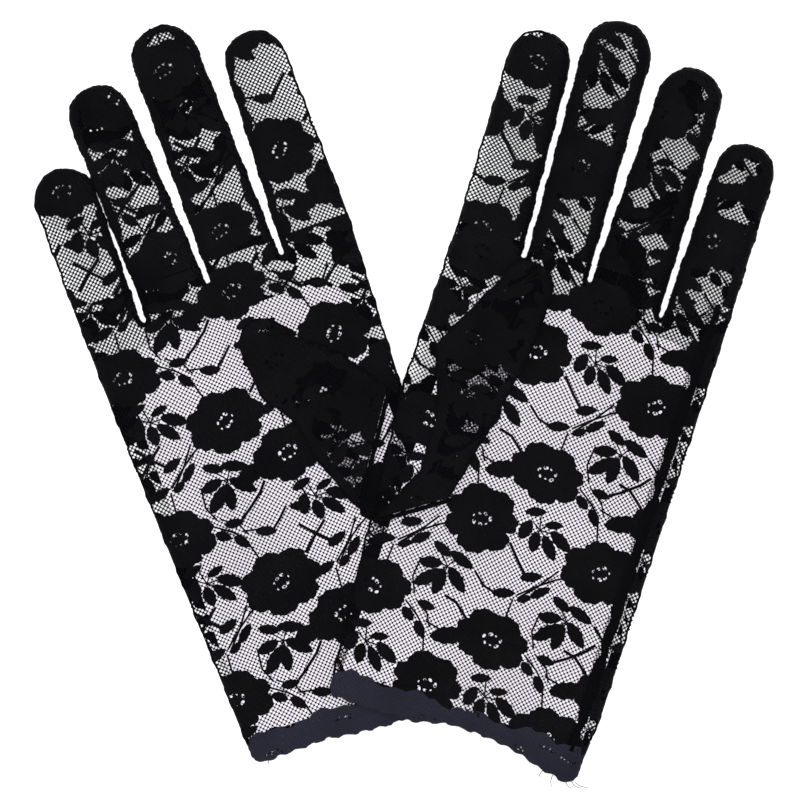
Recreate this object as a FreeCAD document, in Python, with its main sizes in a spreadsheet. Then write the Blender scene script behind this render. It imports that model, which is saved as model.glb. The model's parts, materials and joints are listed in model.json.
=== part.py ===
"""A pair of wrist-length lace gloves lying flat, palms up, the right one overlapping the left one.

Millimetres, +Z up. The gloves lie in the XY plane with the fingertips towards +Y, and the origin is under
the middle of the pair. Left and right are as the gloves lie. Each glove is drawn in a frame of its own:
u across the glove, v from the hem to the fingertips, and its placement then leans it outwards.
"""
import FreeCAD, Part
import math
import os

import Sketcher

Vector = FreeCAD.Vector

FINGERS = ("index", "middle", "ring", "little")
UPRIGHT = FreeCAD.Rotation(Vector(1, 0, 0), 90)

SIZES = {
    # layers, from the floor up
    "cloth": 0.5, "left_top": 5.6, "right_top": 8, "lay_gap": 0.3,
    "card_thickness": 0.4, "card_gap": 0.1,
    "thumb_cloth": 0.5, "thumb_hollow": 2,
    # across the cloth
    "wall": 1, "hem_width": 7, "palm_reach": 162, "slit_half": 1, "web_half": 2,
    "card_margin": 9, "card_corner": 14, "card_head": 6,
    "seam_inset": 5, "seam_width": 1.2, "seam_height": 0.25,
    "thumb_root_gap": 0.2, "thumb_root_strip": 1.4,
    # the ramp by which the right glove climbs onto the left one, across the left glove
    "ramp_start": 47.3, "ramp_run": 10, "slab_half": 200, "slab_head": 300,
    # where each glove lies
    "left_x": -9.98, "left_y": -107.439, "left_lean": 19.5,
    "right_x": 13.22, "right_y": -110.239, "right_lean": -18,
    # palm edges, low and high in u: at the hem, at one point on the way, and at the finger roots
    "left_hem_low": -41.5, "left_low_u": -46.6, "left_low_v": 116, "left_head_low": -48,
    "left_hem_high": 41.9, "left_high_u": 45.8, "left_high_v": 101, "left_head_high": 48.2,
    "right_hem_low": -40.3, "right_low_u": -48.5, "right_low_v": 104, "right_head_low": -47.7,
    "right_hem_high": 46.2, "right_high_u": 47.7, "right_high_v": 20, "right_head_high": 47.7,
    # the slits between the fingers: middle of each, and how far down it comes
    "left_slit1_u": -27.2, "left_slit1_v": 149.8,
    "left_slit2_u": -3.1, "left_slit2_v": 155,
    "left_slit3_u": 23, "left_slit3_v": 156,
    "right_slit1_u": -23.6, "right_slit1_v": 157,
    "right_slit2_u": -0.5, "right_slit2_v": 156,
    "right_slit3_u": 25.7, "right_slit3_v": 151.9,
    # fingertips: middle of the tip, width there, and how far it reaches
    "left_index_tip": 36.4, "left_index_width": 20.4, "left_index_reach": 229.4,
    "left_middle_tip": 8.4, "left_middle_width": 22, "left_middle_reach": 241,
    "left_ring_tip": -18.3, "left_ring_width": 20.5, "left_ring_reach": 229.4,
    "left_little_tip": -38.2, "left_little_width": 20.6, "left_little_reach": 207.4,
    "right_index_tip": -38.7, "right_index_width": 20.7, "right_index_reach": 230.5,
    "right_middle_tip": -14.9, "right_middle_width": 22.5, "right_middle_reach": 241.5,
    "right_ring_tip": 12.6, "right_ring_width": 21, "right_ring_reach": 234,
    "right_little_tip": 37.3, "right_little_width": 19.4, "right_little_reach": 215.8,
}

# Corners of each folded thumb, anticlockwise in u and v, the first two being its root edge. The tip is the
# half circle on the edge whose number and middle are given.
THUMBS = {
    "left": {
        "corners": [(18.6, 69), (41.1, 103), (29.3, 120.8), (16, 130.5), (-0.4, 130.5),
                    (1, 114), (9, 102), (11.5, 88)],
        "tip": (3, (7.8, 130.5)),
    },
    "right": {
        "corners": [(-43.7, 59.8), (-22.1, 74.4), (-15.7, 104.9), (-12, 125), (-10.6, 147.8),
                    (-28.6, 147.8), (-42.1, 121), (-34.5, 98.9), (-34.2, 79.6)],
        "tip": (4, (-19.6, 147.8)),
    },
}

doc = FreeCAD.newDocument("LaceGloves")
sheet = doc.addObject("Spreadsheet::Sheet", "Sizes")
for row, (alias, value) in enumerate(SIZES.items(), start=1):
    sheet.set(f"A{row}", alias)
    sheet.set(f"B{row}", str(value))
    sheet.setAlias(f"B{row}", alias)
doc.recompute()

pieces = []


# ---- placing and drawing ----

def size(expression):
    """The value of an expression over the sheet's cells."""
    return float(sheet.evalExpression(str(expression)))


def put(thing, side, level="0"):
    """Lay a thing in its glove's place, with its base at a height."""
    lean = FreeCAD.Rotation(Vector(0, 0, 1), size(f"Sizes.{side}_lean"))
    spot = Vector(size(f"Sizes.{side}_x"), size(f"Sizes.{side}_y"), size(level))
    thing.Placement = FreeCAD.Placement(spot, lean)
    thing.setExpression("Placement.Base.x", f"Sizes.{side}_x")
    thing.setExpression("Placement.Base.y", f"Sizes.{side}_y")
    thing.setExpression("Placement.Base.z", level)


def tie(sketch, kind, element, point, expression):
    """Hold one coordinate of a sketch point to an expression."""
    number = sketch.addConstraint(
        Sketcher.Constraint(kind, -1, 1, element, point, size(expression)))
    sketch.setExpression(f"Constraints[{number}]", str(expression))


def draw(sketch, corners, arcs=None):
    """Draw a closed outline through corners, each a pair of expressions. arcs holds, for an edge's number,
    the middle of its circle and 1 for an anticlockwise arc or -1 for a clockwise one."""
    arcs = arcs or {}
    first = sketch.GeometryCount
    spots = [Vector(size(u), size(v), 0) for u, v in corners]
    ends = []
    for number, here in enumerate(spots):
        there = spots[(number + 1) % len(spots)]
        if number not in arcs:
            sketch.addGeometry(Part.LineSegment(here, there), False)
            ends.append((1, 2))
            continue
        middle_u, middle_v, turn = arcs[number]
        middle = Vector(size(middle_u), size(middle_v), 0)
        start, stop = (here, there) if turn > 0 else (there, here)
        circle = Part.Circle(middle, Vector(0, 0, 1), (here - middle).Length)
        angles = [math.atan2(spot.y - middle.y, spot.x - middle.x) for spot in (start, stop)]
        sketch.addGeometry(Part.ArcOfCircle(circle, *angles), False)
        ends.append((1, 2) if turn > 0 else (2, 1))
    for number in range(len(spots)):
        after = (number + 1) % len(spots)
        sketch.addConstraint(Sketcher.Constraint(
            "Coincident", first + number, ends[number][1], first + after, ends[after][0]))
    for number, (u, v) in enumerate(corners):
        tie(sketch, "DistanceX", first + number, ends[number][0], u)
        tie(sketch, "DistanceY", first + number, ends[number][0], v)
    for number, (middle_u, middle_v, _) in arcs.items():
        chord = spots[(number + 1) % len(spots)] - spots[number]
        if abs(chord.x) < abs(chord.y):
            tie(sketch, "DistanceX", first + number, 3, middle_u)
        else:
            tie(sketch, "DistanceY", first + number, 3, middle_v)


def keep(thing, label):
    """Name a finished piece, which is written to a file of that name."""
    thing.Label = label
    pieces.append(thing)
    return thing


def flat_piece(label, side, level, height, outline, hollow=None):
    """A flat piece padded from an outline, less an outline cut right through it."""
    body = doc.addObject("PartDesign::Body", label)
    put(body, side, level)
    floor = [part for part in body.Origin.OriginFeatures if part.Role == "XY_Plane"][0]
    steps = [("PartDesign::Pad", outline)] + ([("PartDesign::Pocket", hollow)] if hollow else [])
    for kind, shape in steps:
        step = kind.split("::")[1].lower()
        sketch = body.newObject("Sketcher::SketchObject", f"{label}_{step}_sketch")
        sketch.AttachmentSupport = [(floor, "")]
        sketch.MapMode = "FlatFace"
        draw(sketch, *shape)
        before = body.Shape.Volume if step == "pocket" else 0
        feature = body.newObject(kind, f"{label}_{step}")
        feature.Profile = sketch
        feature.setExpression("Length", height)
        feature.Reversed = step == "pocket"
        doc.recompute()
        assert step == "pad" or body.Shape.Volume < 0.999 * before, label
    return keep(body, label)


def prism(name, side, level, height, outline):
    """An upright prism over an outline, as an ingredient for a boolean."""
    sketch = doc.addObject("Sketcher::SketchObject", f"{name}_sketch")
    draw(sketch, *outline)
    solid = doc.addObject("Part::Extrusion", name)
    solid.Base = sketch
    solid.Dir = Vector(0, 0, 1)
    solid.Solid = True
    solid.setExpression("LengthFwd", height)
    put(solid, side, level)
    return solid


def boolean(kind, name, base, tool):
    result = doc.addObject(f"Part::{kind}", name)
    result.Base = base
    result.Tool = tool
    return result


# ---- outlines, in a glove's own u and v ----

def toward(low, high, share):
    """The expression a share of the way from one expression to another."""
    return f"({low}) + (({high}) - ({low})) * ({share})"


def edge_points(side, edge, foot):
    """The low or high edge of the hand in u, from a height above the hem's edge to the finger roots."""
    glove = f"Sizes.{side}_"
    start = toward(f"{glove}hem_{edge}", f"{glove}{edge}_u", f"({foot}) / {glove}{edge}_v")
    return [(start, foot), (f"{glove}{edge}_u", f"{glove}{edge}_v"),
            (f"{glove}head_{edge}", "Sizes.palm_reach")]


def slit_outline(side, number, half, head):
    """A slit between two fingers, as a strip with a round lower end."""
    middle = f"Sizes.{side}_slit{number}_u"
    foot = f"Sizes.{side}_slit{number}_v + Sizes.slit_half"
    corners = [(f"{middle} - {half}", head), (f"{middle} - {half}", foot),
               (f"{middle} + {half}", foot), (f"{middle} + {half}", head)]
    return corners, {1: (middle, foot, 1)}


def hand_outline(side):
    """The palm or back of the hand, above the hem, with the slits between the fingers as notches."""
    corners = [edge_points(side, "low", "Sizes.hem_width")[0]]
    corners += edge_points(side, "high", "Sizes.hem_width")
    arcs = {}
    for number in (3, 2, 1):
        notch, _ = slit_outline(side, number, "Sizes.slit_half", "Sizes.palm_reach")
        arcs[len(corners) + 1] = (f"Sizes.{side}_slit{number}_u", notch[1][1], -1)
        corners += notch[::-1]
    corners += edge_points(side, "low", "Sizes.hem_width")[:0:-1]
    return corners, arcs


def strip_outline(side, edge, foot, start, width):
    """A strip along one edge of the hand, starting some way in from the edge."""
    sign = "-" if edge == "high" else "+"
    near = [(f"{u} {sign} ({start})", v) for u, v in edge_points(side, edge, foot)]
    far = [(f"{u} {sign} ({start} + {width})", v) for u, v in edge_points(side, edge, foot)]
    return (near + far[::-1],) if edge == "high" else (far + near[::-1],)


def band_outline(side, foot, head, inset):
    """A band across the glove between two heights above the hem's edge."""
    low, high = (toward(f"Sizes.{side}_hem_{edge}", f"Sizes.{side}_{edge}_u",
                        f"({head}) / 2 / Sizes.{side}_{edge}_v")
                 for edge in ("low", "high"))
    return ([(f"{low} + {inset}", foot), (f"{high} - {inset}", foot),
             (f"{high} - {inset}", head), (f"{low} + {inset}", head)],)


def finger_outline(side, name, inset="0"):
    """A finger from its root line to its round tip, drawn in by an inset that leaves the root open."""
    order = FINGERS if side == "right" else FINGERS[::-1]
    place = order.index(name)
    low = f"Sizes.{side}_slit{place}_u + Sizes.slit_half" if place else f"Sizes.{side}_head_low"
    high = f"Sizes.{side}_slit{place + 1}_u - Sizes.slit_half" if place < 3 else f"Sizes.{side}_head_high"
    tip = f"Sizes.{side}_{name}_tip"
    half = f"(Sizes.{side}_{name}_width / 2 - {inset})"
    shoulder = f"Sizes.{side}_{name}_reach - Sizes.{side}_{name}_width / 2"
    corners = [(f"{low} + {inset}", f"Sizes.palm_reach - {inset}"),
               (f"{high} - {inset}", f"Sizes.palm_reach - {inset}"),
               (f"{tip} + {half}", shoulder), (f"{tip} - {half}", shoulder)]
    return corners, {2: (tip, shoulder, 1)}


def thumb_outline(side):
    """A thumb as it lies folded over the palm."""
    number, middle = THUMBS[side]["tip"]
    return THUMBS[side]["corners"], {number: (*middle, 1)}


def thumb_root_outline(side):
    """The gathered cloth at a thumb's root: a strip just outside its root edge."""
    low, high = (Vector(*corner, 0) for corner in THUMBS[side]["corners"][:2])
    outward = (high - low).normalize().cross(Vector(0, 0, 1))
    near = outward * size("Sizes.thumb_root_gap")
    far = outward * size("Sizes.thumb_root_gap + Sizes.thumb_root_strip")
    corners = [low + far, high + far, high + near, low + near]
    return ([(corner.x, corner.y) for corner in corners],)


# ---- the slabs that the right glove's draped pieces are cut from ----

def slab_outline(floor, roof=None):
    """The profile of a slab in left-glove u and height. Its underside lies at a height above the ramp, and
    its top either keeps the same height above the ramp, or is level."""
    high = "(Sizes.left_top + Sizes.lay_gap)"
    bend = f"((Sizes.ramp_run^2 + {high}^2) / (4 * {high}))"
    start, run = "Sizes.ramp_start", "Sizes.ramp_run"

    def ramp(lift):
        return [("-Sizes.slab_half", f"{high} + {lift}"), (start, f"{high} + {lift}"),
                (f"{start} + {run} / 2", f"{high} / 2 + {lift}"), (f"{start} + {run}", lift),
                ("Sizes.slab_half", lift)]

    corners = ramp(floor)
    arcs = {1: (start, f"{high} + {floor} - {bend}", -1), 2: (f"{start} + {run}", f"{floor} + {bend}", 1)}
    if roof in (None, "inside"):
        level = "Sizes.right_top - Sizes.cloth" if roof else "Sizes.right_top"
        return corners + [("Sizes.slab_half", level), ("-Sizes.slab_half", level)], arcs
    arcs[6] = (f"{start} + {run}", f"{roof} + {bend}", -1)
    arcs[7] = (start, f"{high} + {roof} - {bend}", 1)
    return corners + ramp(roof)[::-1], arcs


def slab(name, floor, roof=None):
    """A slab lying along the left glove, upright over its profile."""
    solid = prism(name, "left", "0", "2 * Sizes.slab_half", slab_outline(floor, roof))
    lay = solid.Placement
    lean = FreeCAD.Rotation(Vector(0, 0, 1), size("Sizes.left_lean"))
    spot = lay.Base + lean.multVec(Vector(0, size("Sizes.slab_head"), 0))
    for axis in "xyz":
        solid.setExpression(f"Placement.Base.{axis}", None)
    solid.Placement = FreeCAD.Placement(spot, lean * UPRIGHT)
    return solid


SLABS = {
    "whole": slab("slab_whole", "0"),
    "inside": slab("slab_inside", "Sizes.cloth", "inside"),
    "under": slab("slab_under", "0", "Sizes.cloth"),
}


def draped_piece(label, cut_from, outline):
    """A piece of the right glove that follows the ramp: an outline's prism, kept where it is in a slab."""
    block = prism(f"{label}_block", "right", "0", "Sizes.right_top", outline)
    return keep(boolean("Common", label, block, SLABS[cut_from]), label)


# ---- the hand of a glove ----

def panels(side):
    """The palm and the back: one layer of lace each."""
    flat_piece(f"{side}_palm_panel", side, f"Sizes.{side}_top - Sizes.cloth", "Sizes.cloth",
               hand_outline(side))
    if side == "right":
        draped_piece("right_back_panel", "under", hand_outline(side))
    else:
        flat_piece("left_back_panel", side, "0", "Sizes.cloth", hand_outline(side))


def edges(side):
    """The folds and seams that close the hand along both edges."""
    names = {"left": {"low": "side_seam", "high": "thumb_side_fold"},
             "right": {"low": "thumb_side_fold", "high": "little_side_fold"}}[side]
    for edge, name in names.items():
        outline = strip_outline(side, edge, "Sizes.hem_width", "0", "Sizes.wall")
        if side == "right":
            draped_piece(f"right_{name}", "inside", outline)
        else:
            flat_piece(f"left_{name}", side, "Sizes.cloth", "Sizes.left_top - 2 * Sizes.cloth", outline)
    if side == "right":
        flat_piece("right_side_seam", side, "Sizes.right_top", "Sizes.seam_height",
                   strip_outline(side, "high", "Sizes.hem_width", "Sizes.seam_inset", "Sizes.seam_width"))


def fourchettes(side):
    """The strips that line the slits between the fingers, round the lower end and up both sides."""
    order = FINGERS if side == "right" else FINGERS[::-1]
    for number in (1, 2, 3):
        first, second = sorted(order[number - 1:number + 1], key=FINGERS.index)
        flat_piece(f"{side}_{first}_{second}_fourchette", side, "Sizes.cloth",
                   f"Sizes.{side}_top - 2 * Sizes.cloth",
                   slit_outline(side, number, "Sizes.web_half", "Sizes.palm_reach"),
                   slit_outline(side, number, "Sizes.slit_half", "Sizes.palm_reach + Sizes.web_half"))


def hem(side):
    """The turned hem: a flattened tube round the cuff."""
    outer = band_outline(side, "0", "Sizes.hem_width", "0")
    inner = band_outline(side, "-Sizes.wall", "Sizes.hem_width + Sizes.wall", "Sizes.wall")
    shell = prism(f"{side}_hem_outer", side, "0", f"Sizes.{side}_top", outer)
    if side == "right":
        shell = boolean("Common", "right_hem_shell", shell, SLABS["whole"])
        core = prism("right_hem_inner", side, "0", "Sizes.right_top", inner)
        core = boolean("Common", "right_hem_core", core, SLABS["inside"])
    else:
        core = prism("left_hem_inner", side, "Sizes.cloth", "Sizes.left_top - 2 * Sizes.cloth", inner)
    keep(boolean("Cut", f"{side}_hem", shell, core), f"{side}_hem")


def card(side):
    """The stiff card inside the hand, narrow enough to slide out through the hem."""
    glove = f"Sizes.{side}_"
    low, high = f"{glove}hem_low + 2 * Sizes.wall", f"{glove}hem_high - 2 * Sizes.wall"
    head = f"min({glove}slit1_v; {glove}slit3_v) - Sizes.card_head"
    shoulder, cut = f"{head} - Sizes.card_corner", "Sizes.card_corner"
    corners = [(low, "Sizes.card_margin"), (high, "Sizes.card_margin"), (high, shoulder),
               (f"{high} - {cut}", head), (f"{low} + {cut}", head), (low, shoulder)]
    arcs = {2: (f"{high} - {cut}", shoulder, 1), 4: (f"{low} + {cut}", shoulder, 1)}
    level = f"{glove}top - Sizes.cloth - Sizes.card_gap - Sizes.card_thickness"
    flat_piece(f"{side}_card", side, level, "Sizes.card_thickness", (corners, arcs))


# ---- fingers and thumbs ----

def finger(side, name):
    """One finger: its front and back, and the side strip that closes it round the tip."""
    outline = finger_outline(side, name)
    flat_piece(f"{side}_{name}_back", side, "0", "Sizes.cloth", outline)
    flat_piece(f"{side}_{name}_front", side, f"Sizes.{side}_top - Sizes.cloth", "Sizes.cloth", outline)
    flat_piece(f"{side}_{name}_side_strip", side, "Sizes.cloth", f"Sizes.{side}_top - 2 * Sizes.cloth",
               outline, finger_outline(side, name, "Sizes.wall"))


def thumb(side):
    """A thumb folded over the palm: two layers, the seam between them, and the gathers at its root."""
    level = f"Sizes.{side}_top + Sizes.lay_gap"
    flat_piece(f"{side}_thumb_under", side, level, "Sizes.thumb_cloth", thumb_outline(side))
    flat_piece(f"{side}_thumb_over", side, f"{level} + Sizes.thumb_cloth + Sizes.thumb_hollow",
               "Sizes.thumb_cloth", thumb_outline(side))
    middle = f"{level} + Sizes.thumb_cloth"
    shell = prism(f"{side}_thumb_outer", side, middle, "Sizes.thumb_hollow", thumb_outline(side))
    inset = doc.addObject("Part::Offset2D", f"{side}_thumb_inset")
    inset.Source = shell.Base
    inset.setExpression("Value", "-Sizes.wall")
    core = doc.addObject("Part::Extrusion", f"{side}_thumb_inner")
    core.Base = inset
    core.Dir = Vector(0, 0, 1)
    core.Solid = True
    core.setExpression("LengthFwd", "Sizes.thumb_hollow")
    put(core, side, middle)
    keep(boolean("Cut", f"{side}_thumb_seam", shell, core), f"{side}_thumb_seam")
    flat_piece(f"{side}_thumb_root", side, f"Sizes.{side}_top", "Sizes.lay_gap + 2 * Sizes.thumb_cloth"
               " + Sizes.thumb_hollow", thumb_root_outline(side))


for side in ("left", "right"):
    panels(side)
    edges(side)
    fourchettes(side)
    hem(side)
    card(side)
    for name in FINGERS:
        finger(side, name)
    thumb(side)

doc.recompute()
for thing in doc.Objects:
    assert not {"Invalid", "Error"} & set(thing.State), f"{thing.Label} failed: {thing.State}"
os.makedirs("parts", exist_ok=True)
for piece in pieces:
    assert not piece.Shape.isNull() and piece.Shape.isValid(), piece.Label
    assert len(piece.Shape.Solids) == 1, f"{piece.Label} has {len(piece.Shape.Solids)} solids"
    piece.Shape.exportStep(f"parts/{piece.Label}.step")
    print(f"{piece.Label}: {piece.Shape.Volume:.1f} mm3")
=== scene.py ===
"""Looks for a pair of black floral lace gloves lying flat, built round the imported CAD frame.

Shapes are worked out in millimetres in each glove's own frame (u across the glove, v from the hem to the
fingertips, and height), and turned into the frame's metres when a mesh is made.
"""
import json
import math

import bpy
import numpy as np
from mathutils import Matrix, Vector, geometry
from mathutils.bvhtree import BVHTree


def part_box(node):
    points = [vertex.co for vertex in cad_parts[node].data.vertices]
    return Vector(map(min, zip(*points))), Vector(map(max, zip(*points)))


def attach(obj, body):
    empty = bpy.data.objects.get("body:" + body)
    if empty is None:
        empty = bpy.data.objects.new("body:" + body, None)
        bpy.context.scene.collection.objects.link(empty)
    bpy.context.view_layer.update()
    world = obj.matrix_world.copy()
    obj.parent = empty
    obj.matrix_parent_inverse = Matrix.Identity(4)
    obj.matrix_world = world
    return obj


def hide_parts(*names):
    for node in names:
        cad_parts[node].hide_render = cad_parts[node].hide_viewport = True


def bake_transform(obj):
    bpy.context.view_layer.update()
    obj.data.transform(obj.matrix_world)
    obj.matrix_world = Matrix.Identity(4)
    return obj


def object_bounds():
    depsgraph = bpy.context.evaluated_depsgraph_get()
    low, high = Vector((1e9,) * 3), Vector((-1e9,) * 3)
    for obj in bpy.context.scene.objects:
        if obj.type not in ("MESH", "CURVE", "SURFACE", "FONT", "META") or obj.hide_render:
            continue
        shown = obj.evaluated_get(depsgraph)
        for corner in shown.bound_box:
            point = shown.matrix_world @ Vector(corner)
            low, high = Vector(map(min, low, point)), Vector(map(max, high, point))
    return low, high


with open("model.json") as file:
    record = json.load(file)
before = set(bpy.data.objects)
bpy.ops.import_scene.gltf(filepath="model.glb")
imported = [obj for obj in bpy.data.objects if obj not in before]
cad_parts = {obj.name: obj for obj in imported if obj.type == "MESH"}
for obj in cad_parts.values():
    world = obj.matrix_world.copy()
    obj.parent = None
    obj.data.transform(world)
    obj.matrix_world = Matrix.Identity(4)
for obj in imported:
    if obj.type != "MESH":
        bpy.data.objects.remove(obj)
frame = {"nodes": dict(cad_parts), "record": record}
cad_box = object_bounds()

MM = 0.001
FINGERS = ("index", "middle", "ring", "little")
JOINTS = {joint["name"]: joint for joint in frame["record"]["behaviour"]["joints"]}

# Lengths are in millimetres, except on the stage.
NET_PITCH = 1.1
NET_THREAD = 0.17
KNOT_RADIUS = 0.39
LINING_PITCH = 0.85         # a second, closer net inside the lace, along its seams
LINING_KNOT = 0.22
LINING_DROP = 0.35
FINGER_LINING = 2.6         # how far from the seams it reaches
THUMB_LINING = 12.0
CLOTH = 0.5
MOTIF_THICKNESS = 0.26
MOTIF_GROWTH = 1.05         # how much larger the motifs are than in the lists below
THUMB_MOTIF_GROWTH = 1.25
MOTIF_REACH = 55.0          # no motif is further than this from the start of its repeat
GATHER_STEP = 4.6           # spacing and length of the dense lace's leaves along a seam
GATHER_LENGTH = 8.4
PATCH_STEP = 3.0            # spacing of the points inside solid lace
RIM_INSETS = (0.5, 1.4, 2.7)    # rows of more points along its outline
ROLL = 4.2                  # how far from a closed edge the cloth starts to roll over
EDGE_DROP = 0.4             # how much of the glove's height it has dropped at that edge
WAVES = 0.15                # how much the upper layer rises and falls
STITCH = 0.7                # spacing of the rings of a sewn edge
SEAM_WIDTH = 0.95           # half the width of a sewn edge, and of a plain fold
FOLD_WIDTH = 0.38
SEAM_BAND = 2.2             # half the width of the gathers on the right glove's side seam
BEND_RUN = 14.0             # a length up a finger from its root
HEM_CORNER = 3.0            # rounding of the cuff's corners
END_MATCH = 0.3             # how near an open end's height an edge has to be, to lie on it

# Where the lace's large flower falls on each glove, and the steps of its repeat across and along the glove.
# The grain of the two gloves differs, as it does when a pair is cut from one length of stretch lace.
REPEAT = {
    "left": {"start": (-13.0, 110.5), "across": (43.5, 15.3), "along": (0.2, 56.2)},
    "right": {"start": (30.0, 65.6), "across": (43.0, -5.3), "along": (0.4, 57.8)},
}
UNDERSIDE_SHIFT = (19.0, 26.0)      # the back of a glove is cut from another part of the repeat
# how far each finger's seams draw its lace along from the palm's, across the glove and along it
FINGER_SHIFT = {
    "left": {"index": (3.1, 7.1), "middle": (2.8, 20.0), "ring": (0.0, 0.0), "little": (1.4, 9.0)},
    "right": {"index": (-2.5, 7.6), "middle": (-5.8, 5.0), "ring": (-3.1, 9.5), "little": (0.0, 0.0)},
}
# the dense lace along the fingers' seams: how far in it lies, and how wide it is
GATHERS = {"left": (1.2, (1.7, 4.2)), "right": (1.9, (3.4, 6.4))}
# which part of the repeat each layer of a thumb is cut from
THUMB_SHIFT = {"over": (6, 30), "under": (30, 10)}

# how far each cuff's edge wanders from straight, as places across it and along the glove
HEM_SWAY = {
    "left": [(-40, 0.2), (-27, 0.3), (-16, 0.4), (-6, -1.2), (5, -2.1), (42, -2.1)],
    "right": [(-44, 0.0), (-14, 0.2), (-2, 3.2), (12, 2.8), (21, 1.4), (31, -1.6), (40, -3.5), (44, -3.0)],
}
# where small openings gather in each cuff, across it and up from its edge
HEM_OPENINGS = {
    "left": [(-34, 1.8), (-8, 6.0), (12, 5.5)],
    "right": [(-9, 1.7), (3, 6.4), (22, 1.8), (31, 7.2), (39, 6.5)],
}
# loose thread ends at the cuffs: where across, which way in radians, and how long
LOOSE_ENDS = {
    "left": [(-36, -2.6, 3.0)],
    "right": [(33, -2.5, 4.0), (36, -2.0, 5.0), (40, -1.2, 4.0), (43, -0.6, 6.0), (42, -0.9, 4.5)],
}

# the stage, in metres and watts; each light's name, place, power and size
FLOOR_HALF = 8.0
FLOOR_DROP = 0.0002
WORLD_STRENGTH = 0.85
LIGHTS = [("overhead", (0, 0, 3.1), 100, 0.55), ("side", (-0.7, 0.6, 1.0), 6, 0.9)]
CAMERA_HEIGHT = 3.0
CAMERA_OFFSET = (-0.0013, -0.0006)      # from over the middle of the pair
FIELD = 0.264                           # how much the picture takes in, half way up the gloves
SENSOR = 36.0


# ---- frames and outlines ----

class Glove:
    """One glove's own frame, taken from its joints and its hem."""

    def __init__(self, side):
        self.side = side
        axis = JOINTS[f"{side}_middle_bend"]["axis"]
        self.u_axis = np.array(axis[:2]) / np.hypot(*axis[:2])
        self.v_axis = np.array([-self.u_axis[1], self.u_axis[0]])
        self.origin = np.zeros(2)
        hem = self.flat(f"{side}_hem")
        self.origin = (self.u_axis * (hem[:, 0].min() + hem[:, 0].max()) / 2
                       + self.v_axis * hem[:, 1].min()) * MM
        self.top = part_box(f"{side}_palm_panel")[1][2] / MM
        self.tree = self.tree_of(f"{side}_back_panel") if side == "right" else None

    def flat(self, node):
        """A CAD node's corners, as u, v and height."""
        spots = np.array([vertex.co for vertex in frame["nodes"][node].data.vertices])
        return self.local(spots)

    def local(self, spots):
        """The frame's places, in metres, as u, v and height."""
        plan = np.asarray(spots)[:, :2] - self.origin
        return np.column_stack([plan @ self.u_axis, plan @ self.v_axis, np.asarray(spots)[:, 2]]) / MM

    def world(self, spots):
        """Places in u, v and height, in the frame's metres."""
        spots = np.asarray(spots, float)
        plan = np.outer(spots[:, 0], self.u_axis) + np.outer(spots[:, 1], self.v_axis)
        return np.column_stack([plan * MM + self.origin, spots[:, 2] * MM])

    def tree_of(self, node):
        """A CAD node's faces, to be found by casting rays at them."""
        spots = self.flat(node)
        faces = [tuple(face.vertices) for face in frame["nodes"][node].data.polygons]
        return BVHTree.FromPolygons([Vector(spot) for spot in spots], faces)

    def floor(self, points):
        """How high the underside of the glove is over each point."""
        if self.tree is None:
            return np.zeros(len(points))
        up = Vector((0, 0, 1))
        heights = np.zeros(len(points))
        for number, (u, v) in enumerate(points):
            hit = self.tree.ray_cast(Vector((u, v, -50)), up)[0]
            if hit is None:
                hit = self.tree.find_nearest(Vector((u, v, 0)))[0]
            heights[number] = hit.z
        return heights


def outline_of(glove, node):
    """A flat CAD node's outline, anticlockwise in u and v, from the edges of its upward faces."""
    mesh = frame["nodes"][node].data
    spots = glove.flat(node)
    names = [tuple(np.round(spot[:2], 2)) for spot in spots]
    used = {}
    for face in mesh.polygons:
        if face.normal.z < 0.3:
            continue
        corners = [names[number] for number in face.vertices]
        for here, there in zip(corners, corners[1:] + corners[:1]):
            used[(here, there)] = used.get((here, there), 0) + 1
    after = {here: there for here, there in used if (there, here) not in used and here != there}
    loops = []
    while after:
        start, here = next(iter(after.items()))
        loop = [start]
        while here != start and here in after:
            loop.append(here)
            here = after.pop(here)
        after.pop(start, None)
        loops.append(loop)
    loop = np.array(max(loops, key=lambda points: abs(area_of(np.array(points)))))
    return straighten(loop if area_of(loop) > 0 else loop[::-1])


def area_of(loop):
    """A loop's area, below zero where it runs clockwise."""
    ahead = np.roll(loop, -1, axis=0)
    return 0.5 * np.sum(loop[:, 0] * ahead[:, 1] - ahead[:, 0] * loop[:, 1])


def straighten(loop):
    """Leave out the points that lie on a straight line between their neighbours."""
    back, ahead = np.roll(loop, 1, axis=0) - loop, np.roll(loop, -1, axis=0) - loop
    cross = back[:, 0] * ahead[:, 1] - back[:, 1] * ahead[:, 0]
    return loop[np.abs(cross) > 1e-4 * np.linalg.norm(back, axis=1) * np.linalg.norm(ahead, axis=1)]


def segments_of(loop):
    """A loop's sides, each as its two ends."""
    return np.column_stack([loop, np.roll(loop, -1, axis=0)])


def inside(points, loop):
    """Which points are inside a loop."""
    x, y = points[:, 0][:, None], points[:, 1][:, None]
    x0, y0, x1, y1 = segments_of(loop).T
    crosses = (y0 > y) != (y1 > y)
    with np.errstate(divide="ignore", invalid="ignore"):
        at = x0 + (y - y0) * (x1 - x0) / (y1 - y0)
    return np.sum(crosses & (x < at), axis=1) % 2 == 1


def edge_distance(points, segments):
    """How far each point is from the nearest of some segments."""
    nearest = np.full(len(points), 1e6)
    for x0, y0, x1, y1 in segments:
        run = np.array([x1 - x0, y1 - y0])
        start = np.array([x0, y0])
        share = np.clip((points - start) @ run / max(run @ run, 1e-9), 0, 1)
        nearest = np.minimum(nearest, np.linalg.norm(points - start - share[:, None] * run, axis=1))
    return nearest


def on_open_end(here, there, open_heights):
    """Whether the stretch between two points lies along an open end, at one of some heights in v."""
    return any(max(abs(here[1] - height), abs(there[1] - height)) < END_MATCH for height in open_heights)


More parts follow.
